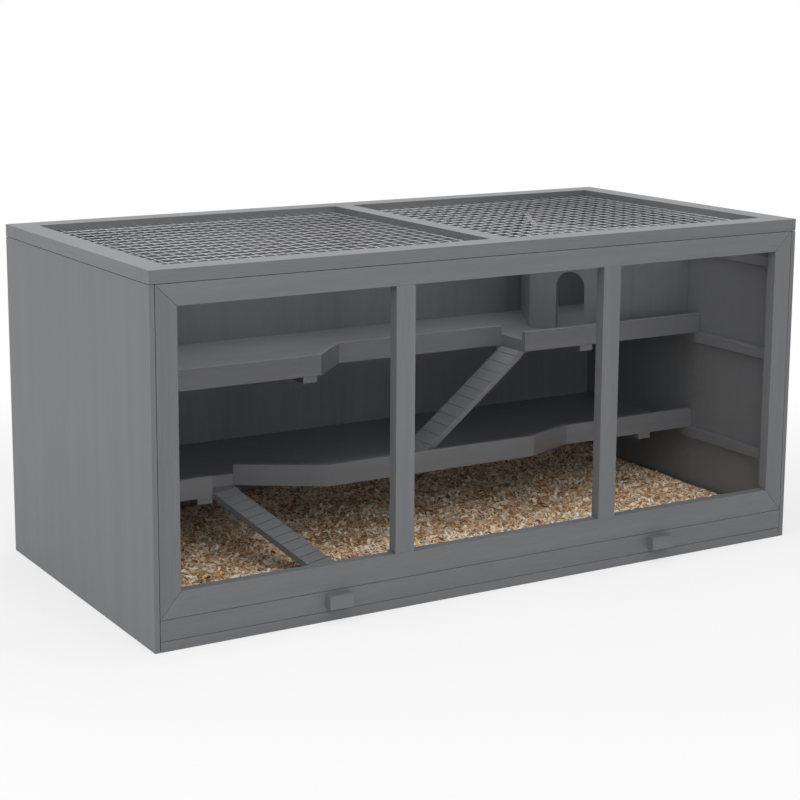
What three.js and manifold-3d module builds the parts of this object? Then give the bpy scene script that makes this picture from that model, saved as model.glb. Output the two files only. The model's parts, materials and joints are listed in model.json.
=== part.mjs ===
// Hamster cage: a low wooden case with a glazed front, two shelves joined by ramps,
// a corner hut, a slide-out bedding tray and a hinged wire-mesh lid.
// Millimetres, +Z up, the glazed front faces -Y, the long side runs along X.
// The origin is at the middle of the footprint, on the surface the cage stands on.
import * as THREE from 'three';
import { mergeVertices } from 'three/addons/utils/BufferGeometryUtils.js';
import Module from 'manifold-3d';

const wasm = await Module();
wasm.setup();

// ---- driving dimensions -----------------------------------------------------------------
const width = 1150; // outside, left to right
const depth = 560; // outside, glazed front to back
const height = 537; // floor to lid top
const lidThick = 19.3;
const sideThick = 8; // left and right panels
const seamGap = 0.8; // shadow line between a side panel and the front frame
const fitGap = 0.3; // clearance between pieces that part or slide
const lidSeam = 0.7; // shadow line between the lid and the case
const traySeam = 0.6; // shadow line above and below the tray's front board
const mitreSeam = 0.6; // shadow line between two mitred ends of the front frame

const frameDepth = 18; // front frame, back to front
const stileWidth = 32.3;
const topRailHeight = 31.4;
const bottomRailHeight = 37.5;
const muntinWidth = 32;
const muntinLeftX = -171; // centre lines of the two uprights
const muntinRightX = 202;
const baseRailHeight = 14.7;
const trayFrontHeight = 31.8; // slot between the base rail and the bottom rail

const paneThick = 3;
const paneLap = 10; // how far the pane reaches behind the frame
const stripThick = 9;
const stripHeight = 23;

const backInset = 20; // back panel's inner face to the outside
const backPanelThick = 6;
const backRailHeight = 60;
const basePanelThick = 6;

const cleatThick = 10;
const cleatHeight = 17.5;
const cleatStart = 14; // from the frame's back face to a cleat's front end
const braceLowZ = 453;
const braceHeight = 17;

const shelfThick = 4;
const shelfEndGap = 0.5; // shelf and lip ends to the side panels
const shelfBackGap = 1.5;
const lipThick = 9.6;
const lipHeight = 33;
const lowerShelfZ = 141.5; // underside of each shelf board
const upperShelfZ = 314.5;
const battenWidth = 25;
const battenThick = 10;
const landingHeight = 18.5;
const blockHeight = 16; // block that clamps the lower ramp's bracket to its shelf
const blockReach = 40;

const rampThick = 9;
const rampPinR = 1.2;
const rampPinInset = 3.6; // pin centre from the ramp's top end, and below its top face
const rampEndGap = 1.5; // ramp's top end to the landing
const rampSideGap = 0.8;
const bracketSheet = 1.2;
const bracketReach = 44; // how far the bracket's plate runs back under a shelf
const bracketTaper = 14; // the plate's back edge is this much narrower at each side
const upperRampSlope = 0.8; // fall per unit of run
const lowerRampSlope = 0.445;
const lowerRampTurn = 24.5; // degrees that the lower ramp swings to the right of straight out
const lowerRampWidth = 50;

const hutWall = 9.5;
const hutTopZ = 503;
const hutDoorWidth = 53;
const hutDoorHeight = 105;
const hutDoorAlong = 77; // door's centre along its panel, from the hut's left corner

const lidRailWidth = 40.5;
const lidBarWidth = 34;
const lidBarX = 19;
const meshThick = 2;
const meshDrop = 9; // lid top to mesh top

const trayWall = 2.5;
const trayWallHeight = 27;
const traySideGap = 3;
const trayBackGap = 5;
const beddingTopZ = 44.4;
const knobWidth = 39;
const knobHeight = 20.5;
const knobReach = 14;
const knobLeftX = -285;
const knobRightX = 306;

const hingeLeafWidth = 60;
const hingeLeafThick = 1.5;
const hingeBarrelR = 3;
const hingePinR = 1.4;
const hingeInset = 190; // hinge centre from the outside of the case

// ---- derived places ---------------------------------------------------------------------
const hingeReach = 2 * hingeBarrelR; // barrel stands out behind the case
const frontY = -(depth + hingeReach - knobReach) / 2;
const backY = frontY + depth;
const halfWidth = width / 2;
const innerX = halfWidth - sideThick;
const frameX = innerX - seamGap;
const bayX = frameX - stileWidth;
const frameBackY = frontY + frameDepth;
const lidLowZ = height - lidThick;
const caseTopZ = lidLowZ - lidSeam;
const trayTopZ = baseRailHeight + trayFrontHeight;
const bottomRailTopZ = trayTopZ + bottomRailHeight;
const topRailLowZ = caseTopZ - topRailHeight;
const backPanelY = backY - backInset;
const backRailY = backPanelY + backPanelThick;
const stripBackY = frameBackY + paneThick + stripThick;
const shelfEndX = innerX - shelfEndGap;
const shelfBackY = backPanelY - shelfBackGap;
const cleatFrontY = frameBackY + cleatStart;
const lowerShelfTopZ = lowerShelfZ + shelfThick;
const upperShelfTopZ = upperShelfZ + shelfThick;

// Front faces of the lips, as plan points from left to right. x is from the middle of the
// case and y from its front, so that each shelf keeps its stepped outline.
const fromFront = (x, y) => [x, frontY + y];
const upperLipFront = [
  fromFront(-shelfEndX, 218.5),
  fromFront(-191.5, 218.5),
  fromFront(-121, 288),
  fromFront(193.5, 288),
];
const upperLipRight = [fromFront(193.5, 218.5), fromFront(shelfEndX, 218.5)];
const lowerLipLeft = [fromFront(-shelfEndX, 231), fromFront(-374.5, 231)];
const lowerLipFront = [
  fromFront(-317, 277.5),
  fromFront(-192.5, 196.5),
  fromFront(199, 196.5),
  fromFront(293, 234),
  fromFront(shelfEndX, 234),
];

// Outer plan corners of the hut: half a hexagon standing against the right side panel.
const hutFrontY = frontY + 254;
const hutLeft = fromFront(316.6, 382.5);
const hutAngle = Math.PI / 3;
const hutFront = [hutLeft[0] + (hutLeft[1] - hutFrontY) / Math.tan(hutAngle), hutFrontY];
const hutRight = [innerX - fitGap, hutFrontY];
const hutBack = [
  hutLeft[0] + (shelfBackY - hutLeft[1]) / Math.tan(hutAngle),
  shelfBackY,
];

// ---- materials --------------------------------------------------------------------------
function paint(color, roughness = 0.6, metalness = 0) {
  return new THREE.MeshStandardMaterial({ color, roughness, metalness });
}
const greyWood = () => paint(0x6c6d70, 0.55);
const greyPanel = () => paint(0x77787b, 0.6);
const steel = () => paint(0xa9abae, 0.35, 0.9);
const acrylic = () => {
  const clear = paint(0xf2f5f6, 0.08);
  clear.transparent = true;
  clear.opacity = 0.25;
  return clear;
};

// ---- makers -----------------------------------------------------------------------------
const cage = new THREE.Group();

function place(name, geometry, material, parent = cage) {
  const mesh = new THREE.Mesh(geometry, material);
  mesh.name = name;
  parent.add(mesh);
  return mesh;
}

// A square-edged board between two corners.
function board(name, low, high, material, parent = cage) {
  const size = high.map((value, i) => value - low[i]);
  const mesh = place(name, new THREE.BoxGeometry(...size), material, parent);
  mesh.position.set(...high.map((value, i) => (value + low[i]) / 2));
  return mesh;
}

// A plan outline [x, y] raised from lowZ to highZ.
function slab(points, lowZ, highZ) {
  const shape = new THREE.Shape(points.map(([x, y]) => new THREE.Vector2(x, y)));
  const options = { depth: highZ - lowZ, bevelEnabled: false };
  return new THREE.ExtrudeGeometry(shape, options).translate(0, 0, lowZ);
}

// An upright outline [x, z] run back from lowY to highY.
function upright(shape, lowY, highY) {
  const options = { depth: highY - lowY, bevelEnabled: false, curveSegments: 12 };
  const geometry = new THREE.ExtrudeGeometry(shape, options);
  return geometry.rotateX(Math.PI / 2).translate(0, highY, 0);
}

function outline(points) {
  return new THREE.Shape(points.map(([x, z]) => new THREE.Vector2(x, z)));
}

// The same plan line moved sideways by distance, to the left of its direction of travel.
function offsetLine(points, distance) {
  const legs = points.slice(1).map((point, i) => {
    const dx = point[0] - points[i][0];
    const dy = point[1] - points[i][1];
    const length = Math.hypot(dx, dy);
    return [-dy / length, dx / length];
  });
  return points.map(([x, y], i) => {
    const before = legs[Math.max(i - 1, 0)];
    const after = legs[Math.min(i, legs.length - 1)];
    const scale = distance / (1 + before[0] * after[0] + before[1] * after[1]);
    return [x + (before[0] + after[0]) * scale, y + (before[1] + after[1]) * scale];
  });
}

// A strip of the given thickness standing behind a plan line.
function stripAlong(points, thick, lowZ, highZ) {
  return slab([...points, ...offsetLine(points, thick).reverse()], lowZ, highZ);
}

function cylinderX(radius, lowX, highX, y, z) {
  const geometry = new THREE.CylinderGeometry(radius, radius, highX - lowX, 20);
  return geometry.rotateZ(Math.PI / 2).translate((lowX + highX) / 2, y, z);
}

function toSolid(geometry) {
  const bare = geometry.index ? geometry.toNonIndexed() : geometry.clone();
  bare.deleteAttribute('normal');
  bare.deleteAttribute('uv');
  const merged = mergeVertices(bare, 1e-4);
  return new wasm.Manifold(new wasm.Mesh({
    numProp: 3,
    vertProperties: new Float32Array(merged.attributes.position.array),
    triVerts: new Uint32Array(merged.index.array),
  }));
}

function fromSolid(solid) {
  const mesh = solid.getMesh();
  const geometry = new THREE.BufferGeometry();
  geometry.setAttribute('position', new THREE.BufferAttribute(mesh.vertProperties, 3));
  geometry.setIndex(new THREE.BufferAttribute(mesh.triVerts, 1));
  geometry.computeVertexNormals();
  return geometry;
}

function joined(...parts) {
  return fromSolid(parts.map(toSolid).reduce((whole, part) => whole.add(part)));
}

function cut(body, ...tools) {
  return fromSolid(tools.map(toSolid).reduce((whole, tool) => whole.subtract(tool), toSolid(body)));
}

function boxGeometry(low, high) {
  const size = high.map((value, i) => value - low[i]);
  return new THREE.BoxGeometry(...size).translate(...high.map((value, i) => (value + low[i]) / 2));
}

// ---- the case ---------------------------------------------------------------------------
function addSidesBackAndBase() {
  for (const [side, sign] of [['left', -1], ['right', 1]]) {
    const edges = [sign * innerX, sign * halfWidth].sort((a, b) => a - b);
    board(`side_panel_${side}`, [edges[0], frontY, 0], [edges[1], backY, caseTopZ], greyPanel());
  }
  const reach = innerX - fitGap;
  const low = [-reach, backPanelY, baseRailHeight + fitGap];
  board('back_panel', low, [reach, backRailY, caseTopZ], greyPanel());
  const railTop = caseTopZ - backRailHeight;
  board('back_rail_top', [-reach, backRailY, railTop], [reach, backY, caseTopZ], greyWood());
  board('back_rail_bottom', [-reach, backRailY, 0], [reach, backY, backRailHeight], greyWood());
  const baseLow = [-reach, frameBackY, baseRailHeight - basePanelThick];
  board('base_panel', baseLow, [reach, backRailY, baseRailHeight], greyPanel());
  board('base_rail_front', [-frameX, frontY, 0], [frameX, frameBackY, baseRailHeight], greyWood());
}

function addFrontFrame() {
  const low = trayTopZ;
  const high = caseTopZ;
  const mitre = mitreSeam / 2;
  const rails = {
    frame_rail_top: [
      [-frameX + mitre, high], [-bayX + mitre, topRailLowZ],
      [bayX - mitre, topRailLowZ], [frameX - mitre, high],
    ],
    frame_rail_bottom: [
      [-frameX + mitre, low], [frameX - mitre, low],
      [bayX - mitre, bottomRailTopZ], [-bayX + mitre, bottomRailTopZ],
    ],
    frame_stile_left: [
      [-frameX, low + mitre], [-bayX, bottomRailTopZ + mitre],
      [-bayX, topRailLowZ - mitre], [-frameX, high - mitre],
    ],
    frame_stile_right: [
      [frameX, low + mitre], [frameX, high - mitre],
      [bayX, topRailLowZ - mitre], [bayX, bottomRailTopZ + mitre],
    ],
  };
  for (const [name, points] of Object.entries(rails)) {
    place(name, upright(outline(points), frontY, frameBackY), greyWood());
  }
  for (const [side, x] of [['left', muntinLeftX], ['right', muntinRightX]]) {
    const half = muntinWidth / 2;
    board(`muntin_${side}`, [x - half, frontY, bottomRailTopZ],
      [x + half, frameBackY, topRailLowZ], greyWood());
  }
}

function addPane() {
  const paneX = bayX + paneLap;
  const paneLow = bottomRailTopZ - 2 * paneLap;
  const paneHigh = topRailLowZ + paneLap;
  board('front_pane', [-paneX, frameBackY, paneLow],
    [paneX, frameBackY + paneThick, paneHigh], acrylic());
  const stripLowZ = { bottom: bottomRailTopZ - 34, top: topRailLowZ + 4 };
  for (const [end, lowZ] of Object.entries(stripLowZ)) {
    board(`pane_strip_${end}`, [-frameX, frameBackY + paneThick, lowZ],
      [frameX, stripBackY, lowZ + stripHeight], greyWood());
  }
}

function addCleats() {
  const rows = [
    ['lower_cleat', lowerShelfZ - cleatHeight, cleatHeight],
    ['upper_cleat', upperShelfZ - cleatHeight, cleatHeight],
    ['side_brace', braceLowZ, braceHeight],
  ];
  for (const [name, lowZ, tall] of rows) {
    for (const [side, sign] of [['left', -1], ['right', 1]]) {
      const edges = [sign * (innerX - cleatThick), sign * innerX].sort((a, b) => a - b);
      const meetsHut = name === 'side_brace' && side === 'right';
      const endY = meetsHut ? hutFrontY - fitGap : backPanelY;
      board(`${name}_${side}`, [edges[0], cleatFrontY, lowZ], [edges[1], endY, lowZ + tall], greyWood());
    }
  }
}

// ---- shelves ----------------------------------------------------------------------------
function addShelf(level, lowZ, front) {
  const back = [[shelfEndX, shelfBackY], [-shelfEndX, shelfBackY]];
  place(`${level}_shelf`, slab([...front, ...back], lowZ, lowZ + shelfThick), greyPanel());
}

function addLip(name, points, lowZ) {
  place(name, stripAlong(points, lipThick, lowZ, lowZ + lipHeight), greyWood());
}

function addBatten(name, centreX, startY, shelfZ) {
  const half = battenWidth / 2;
  board(name, [centreX - half, startY, shelfZ - battenThick],
    [centreX + half, backPanelY - shelfBackGap, shelfZ], greyWood());
}

function addUpperShelf() {
  const left = offsetLine(upperLipFront, lipThick);
  const right = offsetLine(upperLipRight, lipThick);
  const landingX = upperLipRight[0][0] + lipThick;
  const boardFront = [
    ...left.slice(0, 3),
    [landingX, left[3][1]],
    [landingX, right[0][1]],
    right[1],
  ];
  addShelf('upper', upperShelfZ, boardFront);
  addLip('upper_lip_left', upperLipFront, upperShelfZ);
  addLip('upper_lip_right', upperLipRight, upperShelfZ);
  board('upper_landing_strip', [upperLipRight[0][0], right[0][1], upperShelfZ],
    [landingX, upperLipFront[3][1], upperShelfZ + landingHeight], greyWood());
  addBatten('upper_batten_left', upperLipFront[1][0] - 19, upperLipFront[1][1] + 1, upperShelfZ);
  addBatten('upper_batten_right', hutLeft[0] + 3.5, upperLipRight[0][1] + 1, upperShelfZ);
}

function addLowerShelf() {
  const left = offsetLine(lowerLipLeft, lipThick);
  const front = offsetLine(lowerLipFront, lipThick);
  const landingY = lowerLipFront[0][1] + lipThick;
  const boardFront = [
    ...left,
    [left[1][0], landingY],
    [lowerLipFront[0][0], landingY],
    ...front,
  ];
  addShelf('lower', lowerShelfZ, boardFront);
  addLip('lower_lip_left', lowerLipLeft, lowerShelfZ);
  addLip('lower_lip_right', lowerLipFront, lowerShelfZ);
  board('lower_landing_strip', [lowerLipLeft[1][0], landingY - lipThick, lowerShelfZ],
    [lowerLipFront[0][0] - fitGap, landingY, lowerShelfZ + landingHeight], greyWood());
  const blockTopZ = lowerShelfZ - bracketSheet - fitGap;
  board('lower_landing_block',
    [lowerLipLeft[1][0] + fitGap, landingY - lipThick, blockTopZ - blockHeight],
    [lowerLipFront[0][0] - fitGap, landingY + blockReach, blockTopZ], greyWood());
  addBatten('lower_batten_left', lowerLipLeft[1][0] - battenWidth / 2,
    lowerLipLeft[1][1] + 1, lowerShelfZ);
  addBatten('lower_batten_right', lowerLipFront[4][0] - 104, lowerLipFront[4][1] + 1, lowerShelfZ);
}

// ---- ramps ------------------------------------------------------------------------------
// A ramp falls along its group's -X from a top end at x = 0, z = 0 (top face), and is as
// wide as its group's Y from 0 to its width. Its pin lies along Y.
const pinPlace = (slope) => [-rampPinInset, -rampPinInset * slope - rampPinInset];

function pinRod(radius, lowY, highY, slope) {
  const [x, z] = pinPlace(slope);
  const rod = new THREE.CylinderGeometry(radius, radius, highY - lowY, 16);
  return rod.translate(x, (lowY + highY) / 2, z);
}

function rampGeometry(slope, drop, wide) {
  const fall = rampThick * Math.hypot(1, slope); // thickness measured straight down
  const footRun = (drop - fall) / slope;
  const toeRun = (drop - 3) / slope;
  const side = outline([
    [0, 0], [0, -fall], [-footRun, -drop], [-toeRun, -drop], [-toeRun, -drop + 3],
  ].reverse());
  const blank = upright(side, 0, wide);
  return cut(blank, pinRod(rampPinR + fitGap, -1, wide + 1, slope));
}

// A folded steel bracket: a plate under the shelf, an ear each side of the ramp, and the pin.
function bracketGeometry(slope, wide, plateTop) {
  const [pinX, pinZ] = pinPlace(slope);
  const outerLow = -rampSideGap - bracketSheet;
  const outerHigh = wide + rampSideGap + bracketSheet;
  const plateFront = rampEndGap;
  const plate = slab([
    [plateFront, outerLow], [plateFront + 12, outerLow],
    [bracketReach, outerLow + bracketTaper], [bracketReach, outerHigh - bracketTaper],
    [plateFront + 12, outerHigh], [plateFront, outerHigh],
  ], plateTop - bracketSheet, plateTop);
  const ears = [outerLow, wide + rampSideGap].map((y) => {
    const ear = [
      [pinX - 3, plateTop - bracketSheet], [pinX - 3, pinZ - 3],
      [pinX + 3, pinZ - 3], [plateFront + 8, plateTop - bracketSheet],
      [plateFront + 8, plateTop], [plateFront, plateTop],
      [plateFront, plateTop - bracketSheet],
    ];
    return upright(outline(ear), y, y + bracketSheet);
  });
  return joined(plate, ...ears, pinRod(rampPinR, outerLow, outerHigh, slope));
}

function addRamp(level, slope, topZ, footZ, wide, plateTop, turn, corner) {
  const stand = new THREE.Group();
  stand.position.set(corner[0], corner[1], topZ);
  stand.rotation.z = turn;
  cage.add(stand);
  place(`${level}_ramp`, rampGeometry(slope, topZ - footZ, wide), greyWood(), stand);
  const bracket = bracketGeometry(slope, wide, plateTop - topZ);
  place(`${level}_ramp_bracket`, bracket, steel(), stand);
}

function addRamps() {
  const rampTopDrop = 0.6; // ramp's top edge below the underside of its shelf
  const upperLowY = upperLipRight[0][1] + lipThick + rampSideGap;
  const upperWide = upperLipFront[3][1] - rampSideGap - upperLowY;
  const upperX = upperLipRight[0][0] - rampEndGap;
  addRamp('upper', upperRampSlope, upperShelfZ - rampTopDrop, lowerShelfTopZ + fitGap,
    upperWide, upperShelfZ, 0, [upperX, upperLowY]);
  const turn = THREE.MathUtils.degToRad(90 + lowerRampTurn);
  const corner = fromFront(-318, 267.3);
  addRamp('lower', lowerRampSlope, lowerShelfZ - rampTopDrop, beddingTopZ + fitGap,
    lowerRampWidth, lowerShelfZ, turn, corner);
}

// ---- hut --------------------------------------------------------------------------------
function addHut() {
  const lowZ = upperShelfTopZ + fitGap;
  const hairline = 0.15;
  const corners = [hutRight, hutFront, hutLeft, hutBack];
  const inside = offsetLine(corners, -hutWall);
  inside[0] = [hutRight[0], hutFrontY + hutWall];
  const trim = (from, to, amount) => {
    const length = Math.hypot(to[0] - from[0], to[1] - from[1]);
    return from.map((value, i) => value + ((to[i] - value) * amount) / length);
  };
  const front = [
    hutRight, inside[0],
    trim(inside[1], inside[0], hairline), trim(hutFront, hutRight, hairline),
  ];
  place('hut_front_panel', slab(front, lowZ, hutTopZ), greyPanel());
  const back = [
    trim(hutLeft, hutBack, hairline), trim(inside[2], inside[3], hairline),
    [hutBack[0] + hutWall / Math.sin(hutAngle), hutBack[1]], hutBack,
  ];
  place('hut_back_panel', slab(back, lowZ, hutTopZ), greyPanel());
  place('hut_door_panel', doorPanel(lowZ, hairline), greyPanel());
}

// The hut's doored panel, mitred at both ends to meet its neighbours.
function doorPanel(lowZ, hairline) {
  const length = Math.hypot(hutFront[0] - hutLeft[0], hutFront[1] - hutLeft[1]);
  const half = hutDoorWidth / 2;
  const springZ = upperShelfTopZ + hutDoorHeight - half;
  const shape = new THREE.Shape();
  shape.moveTo(hairline, lowZ);
  shape.lineTo(hutDoorAlong - half, lowZ);
  shape.lineTo(hutDoorAlong - half, springZ);
  shape.absarc(hutDoorAlong, springZ, half, Math.PI, 0, true);
  shape.lineTo(hutDoorAlong + half, lowZ);
  shape.lineTo(length - hairline, lowZ);
  shape.lineTo(length - hairline, hutTopZ);
  shape.lineTo(hairline, hutTopZ);
  const geometry = upright(shape, 0, hutWall);
  const mitre = hutWall * Math.tan(hutAngle / 2);
  const position = geometry.attributes.position;
  for (let i = 0; i < position.count; i += 1) {
    const x = position.getX(i);
    const within = position.getY(i) > hutWall / 2;
    if (within && x < 2 * hairline) position.setX(i, x + mitre);
    if (within && x > length - 2 * hairline) position.setX(i, x - mitre);
  }
  return geometry.rotateZ(-hutAngle).translate(hutLeft[0], hutLeft[1], 0);
}

// ---- tray -------------------------------------------------------------------------------
function addTray() {
  const lowZ = baseRailHeight + traySeam;
  board('tray_front', [-frameX, frontY, lowZ],
    [frameX, frameBackY, trayTopZ - traySeam], greyWood());
  const panX = innerX - traySideGap;
  const panBack = backPanelY - trayBackGap;
  const inX = panX - trayWall;
  const hollow = boxGeometry([-inX, frameBackY + trayWall, lowZ + trayWall],
    [inX, panBack - trayWall, lowZ + trayWallHeight + 1]);
  const pan = boxGeometry([-panX, frameBackY, lowZ], [panX, panBack, lowZ + trayWallHeight]);
  place('tray_pan', cut(pan, hollow), paint(0x5d5f62, 0.5));
  board('bedding', [-inX + fitGap, frameBackY + trayWall + fitGap, lowZ + trayWall],
    [inX - fitGap, panBack - trayWall - fitGap, beddingTopZ], paint(0xc79a6b, 0.95));
  const knobLow = (lowZ + trayTopZ - knobHeight) / 2;
  for (const [side, x] of [['left', knobLeftX], ['right', knobRightX]]) {
    board(`tray_knob_${side}`, [x - knobWidth / 2, frontY - knobReach, knobLow],
      [x + knobWidth / 2, frontY, knobLow + knobHeight], greyWood());
  }
}

// ---- lid --------------------------------------------------------------------------------
function addLid() {
  const insideY = [frontY + lidRailWidth, backY - lidRailWidth];
  const insideX = halfWidth - lidRailWidth;
  board('lid_rail_front', [-halfWidth, frontY, lidLowZ], [halfWidth, insideY[0], height], greyWood());
  board('lid_rail_back', [-halfWidth, insideY[1], lidLowZ], [halfWidth, backY, height], greyWood());
  board('lid_rail_left', [-halfWidth, insideY[0], lidLowZ], [-insideX, insideY[1], height], greyWood());
  board('lid_rail_right', [insideX, insideY[0], lidLowZ], [halfWidth, insideY[1], height], greyWood());
  const bar = [lidBarX - lidBarWidth / 2, lidBarX + lidBarWidth / 2];
  board('lid_bar', [bar[0], insideY[0], lidLowZ], [bar[1], insideY[1], height], greyWood());
  const meshTop = height - meshDrop;
  const bays = { left: [-insideX, bar[0]], right: [bar[1], insideX] };
  for (const [side, [lowX, highX]] of Object.entries(bays)) {
    board(`lid_mesh_${side}`, [lowX, insideY[0], meshTop - meshThick],
      [highX, insideY[1], meshTop], steel());
  }
}

// A butt hinge: one leaf on the back rail, one on the lid, and the pin they turn on.
function addLidHinge(side, centreX) {
  const axisY = backY + hingeBarrelR;
  const axisZ = lidLowZ - fitGap / 2;
  const half = hingeLeafWidth / 2;
  const knuckle = hingeLeafWidth / 5;
  const spans = [0, 1, 2, 3, 4].map((i) => [
    centreX - half + i * knuckle + fitGap / 2,
    centreX - half + (i + 1) * knuckle - fitGap / 2,
  ]);
  const bore = cylinderX(hingePinR + fitGap / 2, centreX - half - 1, centreX + half + 1, axisY, axisZ);
  const leaf = (lowZ, highZ, picks) => {
    const plate = boxGeometry([centreX - half, backY, lowZ],
      [centreX + half, backY + hingeLeafThick, highZ]);
    const knuckles = picks.map((i) => cylinderX(hingeBarrelR, ...spans[i], axisY, axisZ));
    const webs = picks.map((i) => boxGeometry([spans[i][0], backY, Math.min(lowZ, axisZ)],
      [spans[i][1], backY + hingeLeafThick, Math.max(highZ, axisZ)]));
    return cut(joined(plate, ...webs, ...knuckles), bore);
  };
  const clear = hingeBarrelR + fitGap;
  place(`lid_hinge_leaf_lower_${side}`, leaf(axisZ - 26, axisZ - clear, [0, 2, 4]), steel());
  place(`lid_hinge_leaf_upper_${side}`, leaf(axisZ + clear, height - 1.5, [1, 3]), steel());
  place(`lid_hinge_pin_${side}`,
    cylinderX(hingePinR, centreX - half, centreX + half, axisY, axisZ), steel());
}

addSidesBackAndBase();
addFrontFrame();
addPane();
addCleats();
addUpperShelf();
addLowerShelf();
addRamps();
addHut();
addTray();
addLid();
addLidHinge('left', -halfWidth + hingeInset);
addLidHinge('right', halfWidth - hingeInset);

export default cage;
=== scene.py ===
import json
import math

import bpy
from mathutils import Matrix, Vector

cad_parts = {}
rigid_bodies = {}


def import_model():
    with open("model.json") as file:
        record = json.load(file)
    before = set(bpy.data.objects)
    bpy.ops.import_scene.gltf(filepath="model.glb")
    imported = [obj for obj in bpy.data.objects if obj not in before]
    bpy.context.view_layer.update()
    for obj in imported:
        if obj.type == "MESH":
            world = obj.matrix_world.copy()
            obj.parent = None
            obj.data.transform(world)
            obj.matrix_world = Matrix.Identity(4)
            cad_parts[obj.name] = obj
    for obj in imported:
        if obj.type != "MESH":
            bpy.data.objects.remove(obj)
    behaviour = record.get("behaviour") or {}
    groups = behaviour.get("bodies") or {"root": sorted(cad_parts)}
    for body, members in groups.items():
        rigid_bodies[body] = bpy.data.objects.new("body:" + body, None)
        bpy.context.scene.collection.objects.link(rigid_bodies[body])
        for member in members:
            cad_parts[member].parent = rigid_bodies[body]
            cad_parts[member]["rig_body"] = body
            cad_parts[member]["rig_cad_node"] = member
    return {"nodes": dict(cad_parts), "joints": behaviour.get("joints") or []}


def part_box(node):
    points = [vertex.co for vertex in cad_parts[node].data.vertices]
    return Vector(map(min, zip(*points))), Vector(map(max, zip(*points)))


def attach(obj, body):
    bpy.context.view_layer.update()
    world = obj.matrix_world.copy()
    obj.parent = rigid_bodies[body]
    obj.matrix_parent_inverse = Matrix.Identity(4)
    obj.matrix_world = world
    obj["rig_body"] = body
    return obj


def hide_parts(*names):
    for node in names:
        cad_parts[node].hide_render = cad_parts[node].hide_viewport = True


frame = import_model()
NODES = frame["nodes"]
JOINTS = {joint["name"]: joint for joint in frame["joints"]}
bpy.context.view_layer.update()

# ---- camera ------------------------------------------------------------------------------
CAMERA_TURN = math.radians(30.12)
CAMERA_DIP = math.radians(10.18)
CAMERA_ROLL = math.radians(0.14)
CAMERA_DISTANCE = 2.6849
CAMERA_LENS = 84.54
CAMERA_SHIFT = (0.0475, -0.10)
AIM_X, AIM_Z = -0.2454, 0.441  # the point that the lens looks at, in the plane of the tray's front
SENSOR_WIDTH = 36


def add_camera():
    """A view from the front left, looking down a little."""
    look = Vector((
        math.sin(CAMERA_TURN) * math.cos(CAMERA_DIP),
        math.cos(CAMERA_TURN) * math.cos(CAMERA_DIP),
        -math.sin(CAMERA_DIP),
    ))
    level = Vector((math.cos(CAMERA_TURN), -math.sin(CAMERA_TURN), 0))
    above = level.cross(look)
    right = level * math.cos(CAMERA_ROLL) + above * math.sin(CAMERA_ROLL)
    up = above * math.cos(CAMERA_ROLL) - level * math.sin(CAMERA_ROLL)
    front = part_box("tray_front")[0].y
    data = bpy.data.cameras.new("camera")
    data.lens = CAMERA_LENS
    data.sensor_width = SENSOR_WIDTH
    data.shift_x, data.shift_y = CAMERA_SHIFT
    data.clip_end = 100
    camera = bpy.data.objects.new("camera", data)
    bpy.context.scene.collection.objects.link(camera)
    turn = Matrix((right, up, -look)).transposed().to_4x4()
    spot = Vector((AIM_X, front, AIM_Z)) - look * CAMERA_DISTANCE
    camera.matrix_world = Matrix.Translation(spot) @ turn
    bpy.context.scene.camera = camera


add_camera()


# ---- finishes ----------------------------------------------------------------------------
class Signal:
    """One value on its way through a tree of nodes. Arithmetic on it adds Math nodes."""

    def __init__(self, nodes, socket):
        self.nodes = nodes
        self.socket = socket

    def maths(self, operation, *values):
        return self.nodes.node("ShaderNodeMath", {"operation": operation}, dict(enumerate(values)))

    def __add__(self, other):
        return self.maths("ADD", self, other)

    __radd__ = __add__

    def __sub__(self, other):
        return self.maths("SUBTRACT", self, other)

    def __rsub__(self, other):
        return self.maths("SUBTRACT", other, self)

    def __mul__(self, other):
        return self.maths("MULTIPLY", self, other)

    __rmul__ = __mul__

    def span(self, low, high):
        """0 below low, 1 above high and a soft step between them."""
        settings = {"interpolation_type": "SMOOTHSTEP"}
        return self.nodes.node("ShaderNodeMapRange", settings, {0: self, 1: low, 2: high})


class NodeTree:
    """The nodes of a finish, of the sky or of a modifier."""

    def __init__(self, tree):
        self.tree = tree

    def node(self, kind, settings=None, inputs=None, output=0):
        made = self.tree.nodes.new(kind)
        for key, value in (settings or {}).items():
            if key == "stops":
                self.set_stops(made.color_ramp, value)
            else:
                setattr(made, key, value)
        for key, value in (inputs or {}).items():
            if isinstance(value, Signal):
                self.link(value, made.inputs[key])
            else:
                made.inputs[key].default_value = value
        return Signal(self, made.outputs[output]) if made.outputs else None

    def link(self, signal, socket):
        self.tree.links.new(signal.socket, socket)

    @staticmethod
    def set_stops(ramp, stops):
        while len(ramp.elements) < len(stops):
            ramp.elements.new(0.5)
        for element, (place, colour) in zip(ramp.elements, stops):
            element.position = place
            element.color = (*colour, 1)


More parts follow.
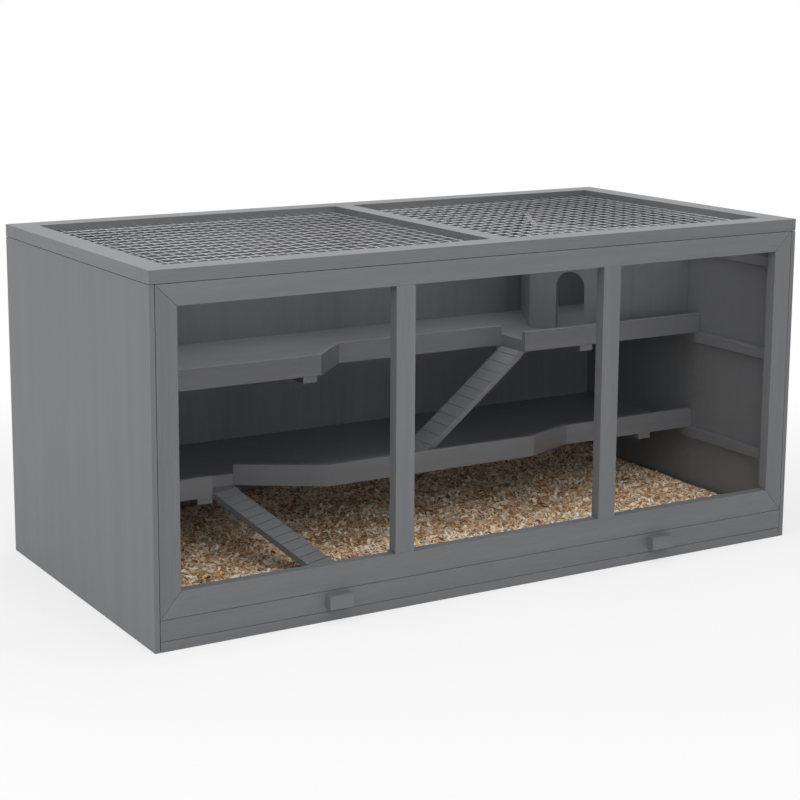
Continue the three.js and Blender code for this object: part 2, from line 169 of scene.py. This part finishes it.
class Finish(NodeTree):
    """A material with a Principled shader, built from nodes."""

    def __init__(self, name, **constants):
        self.material = bpy.data.materials.new(name)
        self.material.use_nodes = True
        super().__init__(self.material.node_tree)
        self.shader = self.tree.nodes["Principled BSDF"]
        for socket, value in constants.items():
            self.shader.inputs[socket.replace("_", " ")].default_value = value

    def place(self, turn=(0, 0, 0), stretch=1, shift=(0, 0, 0)):
        """Object position in a pattern's own frame, with the pattern drawn out along its X."""
        raw = self.node("ShaderNodeTexCoord", output="Object")
        return self.node(
            "ShaderNodeMapping",
            {"vector_type": "TEXTURE"},
            {"Vector": raw, "Location": shift, "Rotation": turn, "Scale": (stretch, 1, 1)},
        )

    def noise(self, where, scale, detail, roughness, output=0):
        return self.node(
            "ShaderNodeTexNoise",
            inputs={"Vector": where, "Scale": scale, "Detail": detail, "Roughness": roughness},
            output=output,
        )

    def mix(self, amount, first, second):
        return self.node(
            "ShaderNodeMix", {"data_type": "RGBA"}, {0: amount, 6: first, 7: second}, output=2
        )

    def bump(self, height, strength, distance):
        return self.node(
            "ShaderNodeBump", inputs={"Height": height, "Strength": strength, "Distance": distance}
        )

    def feed(self, **signals):
        for socket, signal in signals.items():
            self.link(signal, self.shader.inputs[socket.replace("_", " ")])
        return self.material


def grey(level, warmth=0.0):
    """A near-neutral stain colour; the stain is a touch blue unless warmth is added."""
    return (level * (0.96 + warmth), level * 0.985, level * (1.055 - warmth), 1)


ALONG_X = (0, 0, 0)
ALONG_Y = (0, 0, math.pi / 2)
ALONG_Z = (0, math.pi / 2, 0)


def stained_wood(name, turn, shift, level, streak=1.0):
    """Satin grey stain over straight-grained pine: broad streaks, fine fibres and pores."""
    finish = Finish(name, IOR=1.48)
    where = finish.place(turn, stretch=26, shift=shift)
    broad = finish.noise(where, scale=55, detail=3, roughness=0.55)
    fibre = finish.noise(where, scale=520, detail=3, roughness=0.65)
    pores = finish.noise(where, scale=950, detail=1, roughness=0.4).span(0.62, 0.75)
    cloud = finish.noise(finish.place(turn, stretch=3, shift=shift), scale=7, detail=2, roughness=0.5)
    shade = (broad - 0.5) * (0.75 * streak) + (fibre - 0.5) * (0.7 * streak) + (cloud - 0.5) * 0.45
    light = finish.mix(shade + 0.5, grey(level * 0.8), grey(level * 1.2, 0.01))
    stained = finish.mix(pores * (0.22 * streak), light, grey(level * 0.5))
    return finish.feed(
        Base_Color=stained,
        Roughness=0.43 + (fibre - 0.5) * 0.22 + (cloud - 0.5) * 0.08,
        Normal=finish.bump(fibre * 0.6 + broad * 0.4 - pores * 0.5, strength=0.22, distance=0.0006),
    )


def painted_highlight_edge():
    """The eased corner of a board, coloured a little lighter than the boards: a painted highlight along
    the edge.
    """
    finish = Finish("painted_highlight_edge", IOR=1.48)
    where = finish.place()
    highlight_blotches = finish.noise(where, scale=60, detail=3, roughness=0.6)
    fine = finish.noise(where, scale=700, detail=2, roughness=0.6)
    return finish.feed(
        # painted highlight: the edge colour is lighter than the boards' stain
        Base_Color=finish.mix(
            highlight_blotches * 0.7 + fine * 0.3, grey(EDGE_HIGHLIGHT_LEVEL * 0.75), grey(EDGE_HIGHLIGHT_LEVEL * 1.25, 0.02)
        ),
        Roughness=0.36 + fine * 0.14,
        Normal=finish.bump(fine, strength=0.12, distance=0.0004),
    )


def clear_acrylic():
    finish = Finish("clear_acrylic", IOR=1.49, Alpha=0.02)
    film = finish.noise(finish.place(), scale=5, detail=2, roughness=0.5)
    return finish.feed(
        Base_Color=finish.mix(film, (0.05, 0.055, 0.055, 1), (0.09, 0.095, 0.095, 1)),
        Roughness=0.03 + film * 0.04,
    )


def metal(name, colour, roughness, metallic=1.0):
    finish = Finish(name, Metallic=metallic)
    where = finish.place()
    cloud = finish.noise(where, scale=90, detail=3, roughness=0.6)
    fine = finish.noise(where, scale=1400, detail=2, roughness=0.5)
    dark = tuple(part * 0.78 for part in colour) + (1,)
    bright = tuple(min(1, part * 1.15) for part in colour) + (1,)
    return finish.feed(
        Base_Color=finish.mix(cloud * 0.7 + fine * 0.3, dark, bright),
        Roughness=roughness + (cloud - 0.5) * 0.16,
        Normal=finish.bump(fine, strength=0.1, distance=0.0002),
    )


def moulded_plastic():
    finish = Finish("pan_plastic", IOR=1.5)
    where = finish.place()
    stipple = finish.noise(where, scale=1500, detail=2, roughness=0.6)
    scuff = finish.noise(finish.place(stretch=8), scale=60, detail=4, roughness=0.7).span(0.6, 0.8)
    base = finish.mix(stipple, (0.06, 0.062, 0.066, 1), (0.085, 0.087, 0.092, 1))
    return finish.feed(
        Base_Color=finish.mix(scuff * 0.3, base, (0.16, 0.16, 0.165, 1)),
        Roughness=0.5 + scuff * 0.15,
        Normal=finish.bump(stipple, strength=0.2, distance=0.0003),
    )


# from the darkest flakes to the palest
SHAVING_TONES = [
    (0.0, (0.11, 0.04, 0.016)),
    (0.14, (0.36, 0.155, 0.06)),
    (0.27, (0.70, 0.40, 0.195)),
    (0.48, (0.93, 0.71, 0.46)),
    (0.75, (0.98, 0.87, 0.70)),
    (1.0, (0.99, 0.95, 0.88)),
]


def shaving_wood():
    """Planed curls of mixed woods, each flake its own tone, with fine grain along it."""
    finish = Finish("shaving_wood", IOR=1.45)
    each = finish.node("ShaderNodeNewGeometry", output="Random Per Island")
    where = finish.place()
    grain = finish.noise(where, scale=900, detail=3, roughness=0.6)
    patch = finish.noise(where, scale=22, detail=3, roughness=0.6)
    tone = each * 0.84 + grain * 0.22 + (patch - 0.5) * 0.75
    colour = finish.node("ShaderNodeValToRGB", {"stops": SHAVING_TONES}, {0: tone})
    return finish.feed(
        Base_Color=colour,
        Roughness=0.7 + grain * 0.2,
        Normal=finish.bump(grain, strength=0.3, distance=0.0005),
    )


CHIPS_PER_METRE = 210
CHIP_BEND = 0.006


def litter_wood():
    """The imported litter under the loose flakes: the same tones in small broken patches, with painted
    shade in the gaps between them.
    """
    finish = Finish("litter_wood", IOR=1.45)
    where = finish.place()
    bend = finish.noise(where, scale=120, detail=2, roughness=0.5, output="Color")
    bent = finish.node(
        "ShaderNodeVectorMath",
        {"operation": "MULTIPLY_ADD"},
        {0: bend, 1: (CHIP_BEND, CHIP_BEND, CHIP_BEND), 2: where},
    )
    cells = {"Vector": bent, "Scale": CHIPS_PER_METRE}
    chips = finish.node("ShaderNodeTexVoronoi", {"feature": "F1"}, cells, output=1)
    chip = finish.node("ShaderNodeSeparateColor", inputs={0: chips}, output=0)
    gaps = finish.node("ShaderNodeTexVoronoi", {"feature": "DISTANCE_TO_EDGE"}, cells)
    grain = finish.noise(where, scale=900, detail=3, roughness=0.6)
    patch = finish.noise(where, scale=22, detail=3, roughness=0.6)
    tone = chip * 0.62 + grain * 0.22 + (patch - 0.5) * 0.5 + 0.02
    colour = finish.node("ShaderNodeValToRGB", {"stops": SHAVING_TONES}, {0: tone})
    # painted shade: the gaps between the chips are coloured a dark brown
    shadow = gaps.span(0.0, 0.09)
    chips_and_painted_gap_shade = finish.mix(shadow, (0.06, 0.03, 0.015, 1), colour)
    return finish.feed(
        Base_Color=chips_and_painted_gap_shade,
        Roughness=0.8 + grain * 0.15,
        Normal=finish.bump(shadow * 0.7 + grain * 0.3, strength=0.6, distance=0.002),
    )


# ---- the CAD boards and fittings ----------------------------------------------------------
def grain_of(node):
    """The way a board's grain runs: along its length."""
    if node.startswith(("frame_stile", "muntin", "side_panel", "back_panel", "hut_")):
        return ALONG_Z
    if node.startswith(("lid_rail_left", "lid_rail_right", "lid_bar", "upper_landing")):
        return ALONG_Y
    if "cleat" in node or "brace" in node or "batten" in node:
        return ALONG_Y
    return ALONG_X


# how strongly the grain shows; 1 on every other board
STREAK = {"back_panel": 1.15, "side_panel_left": 0.8, "side_panel_right": 0.8}
BOARD_LEVEL = 0.155
# the eased edges are coloured a little lighter than the boards, a painted highlight
EDGE_HIGHLIGHT_LEVEL = 0.165
BOARD_SPREAD = (0.0, 0.03, -0.03, 0.015, -0.015)  # boards take the stain a little differently
GRAIN_STEP = (0.137, 0.211, 0.173)  # how far one board's grain lies from the next one's
BOARD_EASE = 0.00045
RAMP_EASE = 0.0005
MERGE_REACH = 0.00001


def dress(node, finish, edge=None):
    obj = NODES[node]
    obj.data.materials.clear()
    obj.data.materials.append(finish)
    if edge:
        obj.data.materials.append(edge)


def ease_edges(obj, width):
    """Joins a board's corners and rounds them, giving the round the painted edge highlight."""
    weld = obj.modifiers.new("weld", "WELD")
    weld.merge_threshold = MERGE_REACH
    bevel = obj.modifiers.new("eased_edges", "BEVEL")
    bevel.width = width
    bevel.segments = 2
    bevel.limit_method = "ANGLE"
    bevel.angle_limit = math.radians(35)
    # the rounds take the second slot, the painted edge highlight
    bevel.material = 1


def is_board(node):
    """Everything but the fittings, and the ramps, which are sawn and dressed on their own."""
    other = ("lid_hinge", "lid_mesh", "front_pane", "tray_pan", "bedding")
    return not node.startswith(other) and not node.endswith(("_bracket", "_ramp"))


def dress_boards():
    """Each board in its own cut of the same stained wood, with eased edges that carry a painted
    highlight.
    """
    edge = painted_highlight_edge()
    for count, name in enumerate(filter(is_board, sorted(NODES))):
        shift = tuple(step * count for step in GRAIN_STEP)
        level = BOARD_LEVEL * (1 + BOARD_SPREAD[count % len(BOARD_SPREAD)])
        wood = stained_wood(f"stain_{name}", grain_of(name), shift, level, STREAK.get(name, 1.0))
        dress(name, wood, edge)
        ease_edges(NODES[name], BOARD_EASE)


def dress_fittings():
    """The metal and plastic pieces. Gives back the hinges' finish, which their screws share."""
    steel = metal("zinc_plate", (0.56, 0.56, 0.57), 0.32)
    painted = metal("grey_painted_steel", (0.15, 0.152, 0.158), 0.42, metallic=0.0)
    for name in NODES:
        if name.startswith("lid_hinge"):
            dress(name, steel)
        if name.endswith("_bracket"):
            dress(name, painted)
    dress("front_pane", clear_acrylic())
    dress("tray_pan", moulded_plastic())
    return steel


# ---- making pieces -------------------------------------------------------------------------
def deselect():
    bpy.ops.object.select_all(action="DESELECT")


def choose(obj):
    deselect()
    obj.select_set(True)
    bpy.context.view_layer.objects.active = obj


def settle(obj):
    """Puts the piece's place, turn and size into its mesh."""
    choose(obj)
    bpy.ops.object.transform_apply(location=True, rotation=True, scale=True)
    return obj


def named(obj, name):
    obj.name = name
    obj.data.name = name
    return obj


def apply_all(obj):
    choose(obj)
    for modifier in list(obj.modifiers):
        bpy.ops.object.modifier_apply(modifier=modifier.name)
    return obj


def start_box(low, high):
    deselect()
    centre = (Vector(low) + Vector(high)) / 2
    bpy.ops.mesh.primitive_cube_add(size=1, location=centre)
    obj = bpy.context.object
    obj.scale = Vector(high) - Vector(low)
    return settle(obj)


def copy_of(obj, name):
    twin = obj.copy()
    twin.data = obj.data.copy()
    bpy.context.scene.collection.objects.link(twin)
    return named(twin, name)


def discard(*objs):
    for obj in objs:
        bpy.data.objects.remove(obj)


def select_points(obj, wanted):
    """Opens the piece in edit mode with just the wanted points selected."""
    choose(obj)
    bpy.ops.object.mode_set(mode="EDIT")
    bpy.ops.mesh.select_mode(type="VERT")
    bpy.ops.mesh.select_all(action="DESELECT")
    bpy.ops.object.mode_set(mode="OBJECT")
    for vertex in obj.data.vertices:
        vertex.select = wanted(vertex.co)
    bpy.ops.object.mode_set(mode="EDIT")


def join(objs, name):
    deselect()
    for obj in objs:
        obj.select_set(True)
    bpy.context.view_layer.objects.active = objs[0]
    bpy.ops.object.join()
    return named(bpy.context.object, name)


def cut_away(obj, cutter):
    boolean = obj.modifiers.new("cut", "BOOLEAN")
    boolean.operation = "DIFFERENCE"
    boolean.solver = "EXACT"
    boolean.object = cutter
    apply_all(obj)
    discard(cutter)


# ---- ramps ---------------------------------------------------------------------------------
PIN_INSET = 0.0036
GROOVE_WIDTH = 0.0012
GROOVE_DEPTH = 0.0009
GROOVE_END_GAP = 0.008
SAW_REACH = 0.05
RAMP_GRAIN_SHIFT = (0.4, 0.9, 0.3)


def make_ramp(level, slope, pitch, first):
    """The ramp board, falling by slope, with foothold grooves sawn across it a pitch apart."""
    node = f"{level}_ramp"
    joint = JOINTS[f"{level}_ramp_hinge"]
    across = Vector(joint["axis"]).normalized()
    out = across.cross(Vector((0, 0, 1)))
    top = Vector(joint["pos_m"]) + out * PIN_INSET
    top.z += PIN_INSET * slope + PIN_INSET
    down = (-out - Vector((0, 0, slope))).normalized()
    outward = across.cross(down) if across.cross(down).z > 0 else down.cross(across)
    board = copy_of(NODES[node], f"{level}_ramp_board")
    board.parent = None
    # the copy is a piece of its own, so it gives up the marks of the node it stands for
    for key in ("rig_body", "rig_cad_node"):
        del board[key]
    choose(board)
    bpy.ops.object.mode_set(mode="EDIT")
    bpy.ops.mesh.select_all(action="SELECT")
    bpy.ops.mesh.remove_doubles(threshold=MERGE_REACH)
    bpy.ops.mesh.tris_convert_to_quads()
    bpy.ops.object.mode_set(mode="OBJECT")
    length = max((vertex.co - top).dot(down) for vertex in board.data.vertices)
    turn = Matrix((down, outward.cross(down), outward)).transposed()
    saws = []
    step = first
    while step < length - GROOVE_END_GAP:
        saw = start_box(
            (-GROOVE_WIDTH / 2, -SAW_REACH, -GROOVE_DEPTH),
            (GROOVE_WIDTH / 2, SAW_REACH, GROOVE_DEPTH * 3),
        )
        saw.matrix_world = Matrix.Translation(top + down * step) @ turn.to_4x4()
        saws.append(settle(saw))
        step += pitch
    cut_away(board, join(saws, "saw_cuts"))
    ease_edges(board, RAMP_EASE)
    apply_all(board)
    wood = stained_wood(f"stain_{node}", tuple(turn.to_euler()), RAMP_GRAIN_SHIFT, BOARD_LEVEL)
    board.data.materials.clear()
    board.data.materials.append(wood)
    # the ramp's eased edges take the painted edge highlight too
    board.data.materials.append(bpy.data.materials["painted_highlight_edge"])
    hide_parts(node)
    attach(board, f"{level}_ramp_body")


# ---- lid mesh ------------------------------------------------------------------------------
WIRE_RADIUS = 0.00058
CELL_X = 0.0213
CELL_Y = 0.027
WIRE_LAP = 0.25  # of the radius, by which crossing wires are welded into each other


def wire_row(name, start, end, step, count):
    """One wire with eased ends, repeated sideways."""
    span = Vector(end) - Vector(start)
    deselect()
    bpy.ops.mesh.primitive_cylinder_add(
        vertices=10,
        radius=WIRE_RADIUS,
        depth=span.length,
        location=(Vector(start) + Vector(end)) / 2,
    )
    wire = bpy.context.object
    wire.rotation_euler = span.to_track_quat("Z", "Y").to_euler()
    settle(wire)
    bpy.ops.object.mode_set(mode="EDIT")
    bpy.ops.mesh.select_all(action="DESELECT")
    bpy.ops.object.mode_set(mode="OBJECT")
    for face in wire.data.polygons:
        face.select = len(face.vertices) > 4
    bpy.ops.object.mode_set(mode="EDIT")
    bpy.ops.mesh.bevel(offset=WIRE_RADIUS * 0.4, segments=1)
    bpy.ops.object.mode_set(mode="OBJECT")
    bpy.ops.object.shade_smooth_by_angle(angle=math.radians(50))
    array = wire.modifiers.new("row", "ARRAY")
    array.use_relative_offset = False
    array.use_constant_offset = True
    array.constant_offset_displace = step
    array.count = count
    return named(apply_all(wire), name)


def make_lid_mesh(side, finish):
    """Wires along the lid with cross wires welded on top, evenly spaced in their opening."""
    low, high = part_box(f"lid_mesh_{side}")
    count_y = int((high.y - low.y) / CELL_Y)
    count_x = int((high.x - low.x) / CELL_X)
    first_y = low.y + (high.y - low.y - (count_y - 1) * CELL_Y) / 2
    first_x = low.x + (high.x - low.x - (count_x - 1) * CELL_X) / 2
    under = low.z + WIRE_RADIUS
    over = under + WIRE_RADIUS * (2 - WIRE_LAP)
    long_wires = wire_row(
        "long_wires", (low.x, first_y, under), (high.x, first_y, under), (0, CELL_Y, 0), count_y
    )
    cross_wires = wire_row(
        "cross_wires", (first_x, low.y, over), (first_x, high.y, over), (CELL_X, 0, 0), count_x
    )
    grid = join([long_wires, cross_wires], f"lid_wire_grid_{side}")
    grid.data.materials.clear()
    grid.data.materials.append(finish)
    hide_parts(f"lid_mesh_{side}")
    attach(grid, "lid")


# ---- hinge screws --------------------------------------------------------------------------
SCREW_RADIUS = 0.0027
SCREW_HEAD = 0.0009
SCREW_STAND_OFF = 0.35  # of the head's thickness, from the leaf's face to the head's middle
# the dome's two steps: how far inward, of the radius, and how far up, of the thickness
DOME_STEPS = ((0.35, 0.45), (0.3, 0.12))
RECESS_ARM = SCREW_RADIUS * 0.62
RECESS_HALF_WIDTH = SCREW_RADIUS * 0.15
RECESS_FLOOR = 0.0001
RECESS_TOP = 0.003
LEAF_THICKNESS = 0.0015
LOWER_SCREW_RISE = 0.007
UPPER_SCREW_DROP = 0.0065
SCREW_PLACES = (0.16, 0.5, 0.84)  # shares of a leaf's width


def model_screw():
    """A low domed head with a cross recess, facing +Y at the origin."""
    deselect()
    bpy.ops.mesh.primitive_cylinder_add(vertices=28, radius=SCREW_RADIUS, depth=SCREW_HEAD)
    screw = bpy.context.object
    for face in screw.data.polygons:
        face.select = face.normal.z > 0.9
    bpy.ops.object.mode_set(mode="EDIT")
    bpy.ops.mesh.select_mode(type="FACE")
    for inward, upward in DOME_STEPS:
        bpy.ops.mesh.inset(thickness=SCREW_RADIUS * inward)
        bpy.ops.transform.translate(value=(0, 0, SCREW_HEAD * upward))
    bpy.ops.object.mode_set(mode="OBJECT")
    arm, thin = RECESS_ARM, RECESS_HALF_WIDTH
    slots = [
        start_box((-arm, -thin, RECESS_FLOOR), (arm, thin, RECESS_TOP)),
        start_box((-thin, -arm, RECESS_FLOOR), (thin, arm, RECESS_TOP)),
    ]
    for slot in slots:
        cut_away(screw, slot)
    screw.rotation_euler = (-math.pi / 2, 0, 0)
    settle(screw)
    bpy.ops.object.shade_smooth_by_angle(angle=math.radians(30))
    return screw


def fit_hinge_screws(finish):
    """Three screws in each leaf of the two lid hinges."""
    pattern = model_screw()
    pattern.data.materials.append(finish)
    for side in ("left", "right"):
        for leaf, body in (("lower", "case"), ("upper", "lid")):
            low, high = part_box(f"lid_hinge_leaf_{leaf}_{side}")
            outer = low.y + LEAF_THICKNESS + SCREW_HEAD * SCREW_STAND_OFF
            height = low.z + LOWER_SCREW_RISE if leaf == "lower" else high.z - UPPER_SCREW_DROP
            for number, part in enumerate(SCREW_PLACES, 1):
                screw = copy_of(pattern, f"hinge_screw_{leaf}_{side}_{number}")
                screw.location = (low.x + (high.x - low.x) * part, outer, height)
                settle(screw)
                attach(screw, body)
    discard(pattern)


# ---- bedding -------------------------------------------------------------------------------
FLAKES_PER_PATCH = 3200
PATCHES = 4
LITTER_SINK = 0.005  # the sheet that becomes the litter starts this far below the bedding
# name, size and height of the litter's unevenness
LITTER_LUMPS = (("heaps", 0.12, 0.006), ("lumps", 0.012, 0.0045))
DRIFT_REACH = 0.060  # the litter banks up at the back, behind what passes under the front frame
DRIFT_HEIGHT = 0.014
DRIFT_CREST = 0.012  # the strip along the back that rises by the full height
DRIFT_START_X = -0.15  # and to the right of the lower ramp's foot
FLAKE_MARGIN = 0.008  # kept free along the walls of the pan
FLAKE_THICKNESS = 0.00035
FLAKE_TILT = 0.75
FLAKE_SIZES = (0.65, 1.35)
FLAKE_LIFT = 0.0006
DROP_HEIGHT = 0.02  # a patch starts this far above the bedding and is dropped onto the litter
# name, length, breadth, and the degrees it curls and twists by
FLAKE_KINDS = (
    ("flake_flat", 0.0095, 0.0034, 35, 20),
    ("flake_bowed", 0.0110, 0.0030, 110, -30),
    ("flake_curl", 0.0125, 0.0036, 215, 35),
    ("flake_roll", 0.0140, 0.0040, 300, 15),
    ("flake_sliver", 0.0100, 0.0017, 60, 70),
    ("flake_chip", 0.0060, 0.0042, 25, -15),
)
RAIL_CLEARANCE = 0.002
PRESSED = 0.2  # what is left of a flake's height above the clearance
FIRST_SEED = 100
TURN_SEED_STEP = 11
SIZE_SEED_STEP = 23


def model_flake(name, length, breadth, curl, twist):
    """A planed curl: a thin strip rolled up along its length."""
    deselect()
    bpy.ops.mesh.primitive_grid_add(x_subdivisions=7, y_subdivisions=1, size=1)
    flake = bpy.context.object
    flake.scale = (length, breadth, 1)
    settle(flake)
    for kind, angle, axis in (("BEND", curl, "Y"), ("TWIST", twist, "X")):
        deform = flake.modifiers.new(kind.lower(), "SIMPLE_DEFORM")
        deform.deform_method = kind
        deform.angle = math.radians(angle)
        deform.deform_axis = axis
    apply_all(flake)
    flake.modifiers.new("thickness", "SOLIDIFY").thickness = FLAKE_THICKNESS
    return named(apply_all(flake), name)


def make_litter():
    """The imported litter: a lumpy bed with a flat underside, filling the pan."""
    low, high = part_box("bedding")
    deselect()
    bpy.ops.mesh.primitive_grid_add(
        x_subdivisions=150, y_subdivisions=70, size=1,
        location=((low.x + high.x) / 2, (low.y + high.y) / 2, high.z - LITTER_SINK),
    )
    litter = bpy.context.object
    litter.scale = (high.x - low.x, high.y - low.y, 1)
    settle(litter)
    for name, scale, strength in LITTER_LUMPS:
        texture = bpy.data.textures.new(name, "CLOUDS")
        texture.noise_scale = scale
        displace = litter.modifiers.new(name, "DISPLACE")
        displace.texture = texture
        displace.texture_coords = "OBJECT"
        displace.texture_coords_object = None
        displace.direction = "Z"
        displace.strength = strength
        displace.mid_level = 0.6
    apply_all(litter)
    select_points(litter, lambda point: point.x > DRIFT_START_X and point.y > high.y - DRIFT_CREST)
    bpy.ops.transform.translate(
        value=(0, 0, DRIFT_HEIGHT),
        use_proportional_edit=True,
        proportional_edit_falloff="SMOOTH",
        proportional_size=DRIFT_REACH,
    )
    # the underside: the whole sheet drawn down, then pressed flat onto the pan
    bpy.ops.mesh.select_all(action="SELECT")
    bpy.ops.mesh.extrude_region_move(TRANSFORM_OT_translate={"value": (0, 0, -0.02)})
    bpy.ops.transform.resize(value=(1, 1, 0), center_override=(0, 0, low.z))
    bpy.ops.mesh.select_all(action="SELECT")
    bpy.ops.mesh.normals_make_consistent(inside=False)
    bpy.ops.object.mode_set(mode="OBJECT")
    bpy.ops.object.shade_smooth_by_angle(angle=math.radians(60))
    named(litter, "bedding_litter")
    litter.data.materials.append(litter_wood())
    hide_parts("bedding")
    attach(litter, "tray")
    return litter


def scatter_group(flakes, seed, density):
    """A node group that strews the flakes over a sheet, turned and sized at random."""
    group = bpy.data.node_groups.new(f"strew_{seed}", "GeometryNodeTree")
    group.is_modifier = True
    group.interface.new_socket("Geometry", in_out="INPUT", socket_type="NodeSocketGeometry")
    group.interface.new_socket("Geometry", in_out="OUTPUT", socket_type="NodeSocketGeometry")
    nodes = NodeTree(group)
    points = nodes.node("GeometryNodeDistributePointsOnFaces", inputs={
        "Mesh": nodes.node("NodeGroupInput"), "Density": density, "Seed": seed,
    }, output="Points")
    kinds = nodes.node("GeometryNodeCollectionInfo", inputs={
        "Collection": flakes, "Separate Children": True, "Reset Children": True,
    })
    turn = nodes.node("FunctionNodeRandomValue", {"data_type": "FLOAT_VECTOR"}, {
        0: (-FLAKE_TILT, -FLAKE_TILT, 0), 1: (FLAKE_TILT, FLAKE_TILT, math.tau),
        "Seed": seed + TURN_SEED_STEP,
    })
    size = nodes.node("FunctionNodeRandomValue", {"data_type": "FLOAT"}, {
        2: FLAKE_SIZES[0], 3: FLAKE_SIZES[1], "Seed": seed + SIZE_SEED_STEP,
    }, output=1)
    strewn = nodes.node("GeometryNodeInstanceOnPoints", inputs={
        "Points": points, "Instance": kinds, "Pick Instance": True,
        "Rotation": turn, "Scale": size,
    })
    solid = nodes.node("GeometryNodeRealizeInstances", inputs={0: strewn})
    nodes.node("NodeGroupOutput", inputs={0: solid})
    return group


def level_off(patch, crest, back):
    """Presses the flakes down to what clears the front frame as the tray slides."""
    select_points(patch, lambda point: point.y < back and point.z > crest)
    bpy.ops.transform.resize(value=(1, 1, PRESSED), center_override=(0, 0, crest))
    bpy.ops.object.mode_set(mode="OBJECT")


def strew_flakes(litter):
    """The loose flakes, in patches that lie side by side on the litter."""
    kinds = bpy.data.collections.new("flake_kinds")
    shapes = [model_flake(*facts) for facts in FLAKE_KINDS]
    for shape in shapes:
        kinds.objects.link(shape)
    low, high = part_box("bedding")
    wood = shaving_wood()
    start, end = low.x + FLAKE_MARGIN, high.x - FLAKE_MARGIN
    breadth = (end - start) / PATCHES
    length = high.y - low.y - 2 * FLAKE_MARGIN
    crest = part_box("frame_rail_bottom")[0].z - RAIL_CLEARANCE
    for number in range(PATCHES):
        left = start + number * breadth
        deselect()
        bpy.ops.mesh.primitive_grid_add(
            x_subdivisions=40, y_subdivisions=70, size=1,
            location=(left + breadth / 2, (low.y + high.y) / 2, high.z + DROP_HEIGHT),
        )
        patch = bpy.context.object
        patch.scale = (breadth, length, 1)
        settle(patch)
        wrap = patch.modifiers.new("drop", "SHRINKWRAP")
        wrap.target = litter
        wrap.wrap_method = "PROJECT"
        wrap.use_project_z = True
        wrap.use_negative_direction = True
        wrap.use_positive_direction = False
        wrap.offset = FLAKE_LIFT
        apply_all(patch)
        strew = patch.modifiers.new("strew", "NODES")
        density = FLAKES_PER_PATCH / (breadth * length)
        strew.node_group = scatter_group(kinds, FIRST_SEED + number, density)
        apply_all(patch)
        level_off(patch, crest, high.y - DRIFT_REACH)
        named(patch, f"shavings_{number + 1}")
        patch.data.materials.clear()
        patch.data.materials.append(wood)
        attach(patch, "tray")
    discard(*shapes)
    bpy.data.collections.remove(kinds)


# ---- studio --------------------------------------------------------------------------------
SKY_LIGHT = 0.36
FLOOR_DROP = 0.0005
FLOOR_GLOW = 0.68
GLOW_NEAR, GLOW_FAR = 0.75, 1.5  # between these distances the floor's glow becomes full
# name, place, the point it shines at, size and power
LAMPS = (
    ("top_softbox", (0.1, 0.1, 2.9), (0, 0, 0.4), 2.4, 38),
    ("left_softbox", (-2.9, -0.9, 1.7), (0, 0, 0.25), 1.8, 29),
    ("front_softbox", (-0.4, -2.7, 2.3), (0, 0, 0.15), 1.8, 21),
    ("low_softbox", (-0.5, -3.0, 0.7), (0, 0, 0.15), 1.2, 8),
)


def seen_by_eye(nodes):
    """1 for what the camera sees, also in a mirror or through the pane, and 0 for light."""
    seen = nodes.node("ShaderNodeLightPath", output="Is Camera Ray")
    for ray in ("Is Glossy Ray", "Is Transmission Ray"):
        seen = seen.maths("MAXIMUM", seen, nodes.node("ShaderNodeLightPath", output=ray))
    return seen


def add_floor():
    """A pale floor that keeps the shadow under the cage and goes over into the white sky."""
    deselect()
    bpy.ops.mesh.primitive_plane_add(size=60, location=(0, 0, -FLOOR_DROP))
    floor = named(bpy.context.object, "studio_floor")
    pale = (0.86, 0.86, 0.86, 1)
    finish = Finish("studio_floor", Base_Color=pale, Roughness=0.9, Specular_IOR_Level=0.0)
    glow = finish.node("ShaderNodeEmission", inputs={"Color": (1, 1, 1, 1), "Strength": 1.0})
    middle = finish.node("ShaderNodeTexCoord", output="Object")
    away = finish.node("ShaderNodeVectorMath", {"operation": "LENGTH"}, {0: middle}, output="Value")
    share = FLOOR_GLOW + away.span(GLOW_NEAR, GLOW_FAR) * (1 - FLOOR_GLOW)
    lit = Signal(finish, finish.shader.outputs[0])
    blend = finish.node("ShaderNodeMixShader", inputs={0: seen_by_eye(finish) * share, 1: lit, 2: glow})
    finish.link(blend, finish.tree.nodes["Material Output"].inputs[0])
    floor.data.materials.append(finish.material)


def add_sky():
    """White to the eye, and a dimmer even light on the cage."""
    world = bpy.data.worlds.new("studio")
    bpy.context.scene.world = world
    world.use_nodes = True
    nodes = NodeTree(world.node_tree)
    backdrop = nodes.tree.nodes["Background"]
    backdrop.inputs["Color"].default_value = (1, 1, 1, 1)
    nodes.link(SKY_LIGHT + seen_by_eye(nodes) * (1 - SKY_LIGHT), backdrop.inputs["Strength"])


def add_lamp(name, place, target, size, power):
    """A square soft lamp."""
    data = bpy.data.lights.new(name, "AREA")
    data.size = size
    data.energy = power
    lamp = bpy.data.objects.new(name, data)
    bpy.context.scene.collection.objects.link(lamp)
    lamp.location = place
    lamp.rotation_euler = (Vector(target) - Vector(place)).to_track_quat("-Z", "Y").to_euler()


# ---- the whole cage ------------------------------------------------------------------------
dress_boards()
zinc = dress_fittings()
make_ramp("upper", slope=0.8, pitch=0.0210, first=0.012)
make_ramp("lower", slope=0.445, pitch=0.0180, first=0.016)
wire = metal("galvanised_wire", (0.6, 0.6, 0.61), 0.4, metallic=0.6)
for side_name in ("left", "right"):
    make_lid_mesh(side_name, wire)
fit_hinge_screws(zinc)
strew_flakes(make_litter())
add_floor()
add_sky()
for lamp_facts in LAMPS:
    add_lamp(*lamp_facts)
bpy.context.scene.view_settings.view_transform = "Standard"
